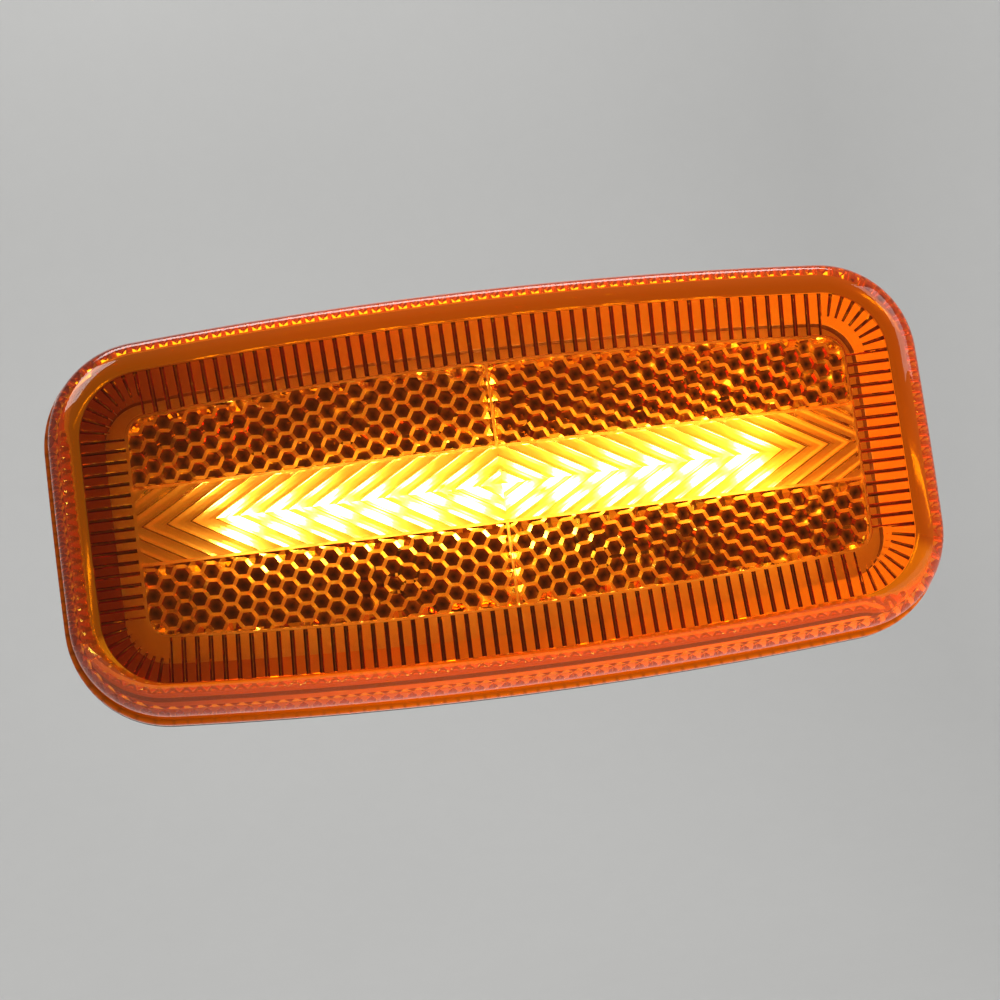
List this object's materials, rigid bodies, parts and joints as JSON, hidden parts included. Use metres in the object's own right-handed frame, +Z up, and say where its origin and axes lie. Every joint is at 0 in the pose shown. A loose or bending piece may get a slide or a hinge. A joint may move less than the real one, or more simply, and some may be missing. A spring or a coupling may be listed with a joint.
{
  "type": "side marker lamp",
  "caption": "Amber side marker lamp: bowed rectangular lens with reflex cells, flutes and chevron ribs over a row of light diodes, on a flanged housing with rear bosses and socket.",
  "frame": {"origin": "centre of the lamp on the plane where the gasket meets the vehicle panel", "axes": "+X along the lamp, +Y backwards into the vehicle, +Z up; the lens looks towards -Y"},
  "size_m": [0.12, 0.0315, 0.0556],
  "materials": {
    "amber_lens": "clear gloss, tinted through",
    "black_housing": "fine spark texture",
    "foam_gasket": "closed-cell foam",
    "white_board": "white solder mask",
    "light_diode": "white cup with yellow filling",
    "resistor": "black glaze with tinned ends",
    "driver_chip": "moulded package with tinned leads",
    "protection_diode": "moulded package with tinned tabs",
    "capacitor": "satin can on a black base",
    "socket_shell": "moulded, slight sheen",
    "socket_seal": "silicone",
    "terminal": "tin-plated",
    "white_reflector": "white moulded frame",
    "board_screw": "zinc-plated"
  },
  "bodies": {
    "root": {"lens": "amber_lens", "housing": "black_housing", "gasket": "foam_gasket", "reflector_frame": "white_reflector", "circuit_board": "white_board", "board_screws": "board_screw", "connector_shell": "socket_shell", "connector_seal": "socket_seal", "terminal_left": "terminal", "terminal_right": "terminal", "driver_chip": "driver_chip", "protection_diode": "protection_diode", "capacitor": "capacitor", "led_01": "light_diode", "led_02": "light_diode", "led_03": "light_diode", "led_04": "light_diode", "led_05": "light_diode", "led_06": "light_diode", "led_07": "light_diode", "led_08": "light_diode", "led_09": "light_diode", "led_10": "light_diode", "led_11": "light_diode", "led_12": "light_diode", "resistor_1": "resistor", "resistor_2": "resistor", "resistor_3": "resistor", "resistor_4": "resistor", "resistor_5": "resistor", "resistor_6": "resistor"}
  },
  "joints": []
}
